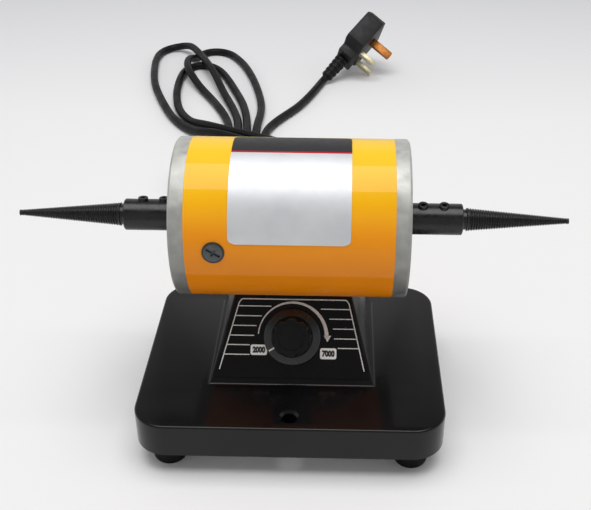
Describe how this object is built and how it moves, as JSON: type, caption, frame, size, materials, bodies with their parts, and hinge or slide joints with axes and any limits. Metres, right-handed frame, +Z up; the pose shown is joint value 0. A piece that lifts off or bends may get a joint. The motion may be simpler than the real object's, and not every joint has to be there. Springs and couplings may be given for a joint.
{
  "type": "dental polishing lathe",
  "caption": "Bench polisher: horizontal motor with a threaded taper spindle at each end, on a footed box base with a sloping speed-dial panel and a mains cord with plug.",
  "frame": {"origin": "on the bench under the middle of the base box, midway between the spindle tips", "axes": "+X along the spindles to the right, -Y towards the operator and the dial, +Z up"},
  "size_m": [0.3111, 0.6274, 0.1508],
  "materials": {
    "housing_black": "gloss moulded black",
    "plate_zinc": "zinc plated",
    "screw_steel": "zinc plated, dulled",
    "foot_rubber": "matte",
    "panel_black": "satin black with printed dial",
    "pot_case": "stamped, satin",
    "nickel": "nickel plated",
    "knob_black": "satin black",
    "black_oxide": "black oxide, lightly oiled",
    "board_green": "solder-masked laminate",
    "standoff_brass": "bright",
    "sink_aluminium": "extruded, plain",
    "epoxy_black": "moulded epoxy",
    "film_blue": "boxed film",
    "copper_wire": "enamelled copper wire",
    "terminal_green": "moulded",
    "fuse_glass": "clear",
    "clip_brass": "tinned",
    "tube_yellow": "glossy enamel",
    "cap_aluminium": "die cast, dull",
    "ferrite": "sintered, dull",
    "bakelite": "moulded dark phenolic",
    "carbon": "pressed carbon",
    "spring_steel": "drawn wire",
    "foil_silver": "thin self-adhesive foil",
    "grommet_rubber": "matte",
    "lead_sleeve": "insulated wire",
    "bearing_steel": "ground",
    "shaft_steel": "turned",
    "core_steel": "stacked laminations, varnished",
    "winding_copper": "enamelled copper",
    "commutator_copper": "turned copper bars",
    "nylon": "natural nylon",
    "cord_black": "flexible sheath",
    "plug_black": "moulded",
    "pin_copper": "darkened",
    "pin_brass": "pale, plated"
  },
  "bodies": {
    "stator": {"base_housing": "housing_black", "bottom_plate": "plate_zinc", "plate_screws": "screw_steel", "feet": "foot_rubber", "foot_screws": "screw_steel", "foot_nuts": "screw_steel", "control_plate": "panel_black", "potentiometer": "pot_case", "pot_nut": "nickel", "control_board": "board_green", "standoffs": "standoff_brass", "board_screws": "screw_steel", "heat_sink": "sink_aluminium", "triac": "epoxy_black", "capacitor": "film_blue", "choke": "copper_wire", "rectifier": "epoxy_black", "terminal_block": "terminal_green", "fuse": "fuse_glass", "fuse_clips": "clip_brass", "motor_tube": "tube_yellow", "left_end_cap": "cap_aluminium", "right_end_cap": "cap_aluminium", "through_bolts": "screw_steel", "through_bolt_nuts": "screw_steel", "magnets": "ferrite", "brush_holders": "bakelite", "brushes": "carbon", "brush_springs": "spring_steel", "brush_caps": "bakelite", "motor_mount_screws": "screw_steel", "nameplate": "foil_silver", "lead_grommet": "grommet_rubber", "motor_leads": "lead_sleeve", "left_outer_ring": "bearing_steel", "right_outer_ring": "bearing_steel", "cord_clamp": "nylon", "clamp_screws": "screw_steel", "mains_lead": "cord_black", "cord_boot": "cord_black", "cord": "cord_black", "plug_relief": "cord_black", "plug_body": "plug_black", "plug_earth_pin": "pin_copper", "plug_line_pins": "pin_brass"},
    "rotor": {"shaft": "shaft_steel", "armature_core": "core_steel", "windings": "winding_copper", "commutator": "commutator_copper", "left_inner_ring": "bearing_steel", "right_inner_ring": "bearing_steel", "left_spindle": "black_oxide", "right_spindle": "black_oxide", "left_grub_screws": "black_oxide", "right_grub_screws": "black_oxide"},
    "left_ball_ring": {"left_balls": "bearing_steel"},
    "right_ball_ring": {"right_balls": "bearing_steel"},
    "knob": {"knob": "knob_black", "pot_shaft": "nickel", "knob_screw": "black_oxide"}
  },
  "joints": [
    {"name": "rotor_spin", "type": "hinge", "parent": "stator", "child": "rotor", "pos_m": [0, 0.007, 0.1104], "axis": [1, 0, 0], "continuous": true},
    {"name": "left_ball_orbit", "type": "hinge", "parent": "stator", "child": "left_ball_ring", "pos_m": [0, 0.007, 0.1104], "axis": [1, 0, 0], "continuous": true},
    {"name": "right_ball_orbit", "type": "hinge", "parent": "stator", "child": "right_ball_ring", "pos_m": [0, 0.007, 0.1104], "axis": [1, 0, 0], "continuous": true},
    {"name": "knob_turn", "type": "hinge", "parent": "stator", "child": "knob", "pos_m": [0, -0.01599, 0.05172], "axis": [0, -0.8191, 0.5736], "range_deg": [-240, 0]}
  ],
  "couplings": [
    {"joint": "left_ball_orbit", "follows": "rotor_spin", "ratio": 0.3678},
    {"joint": "right_ball_orbit", "follows": "rotor_spin", "ratio": 0.3678}
  ]
}
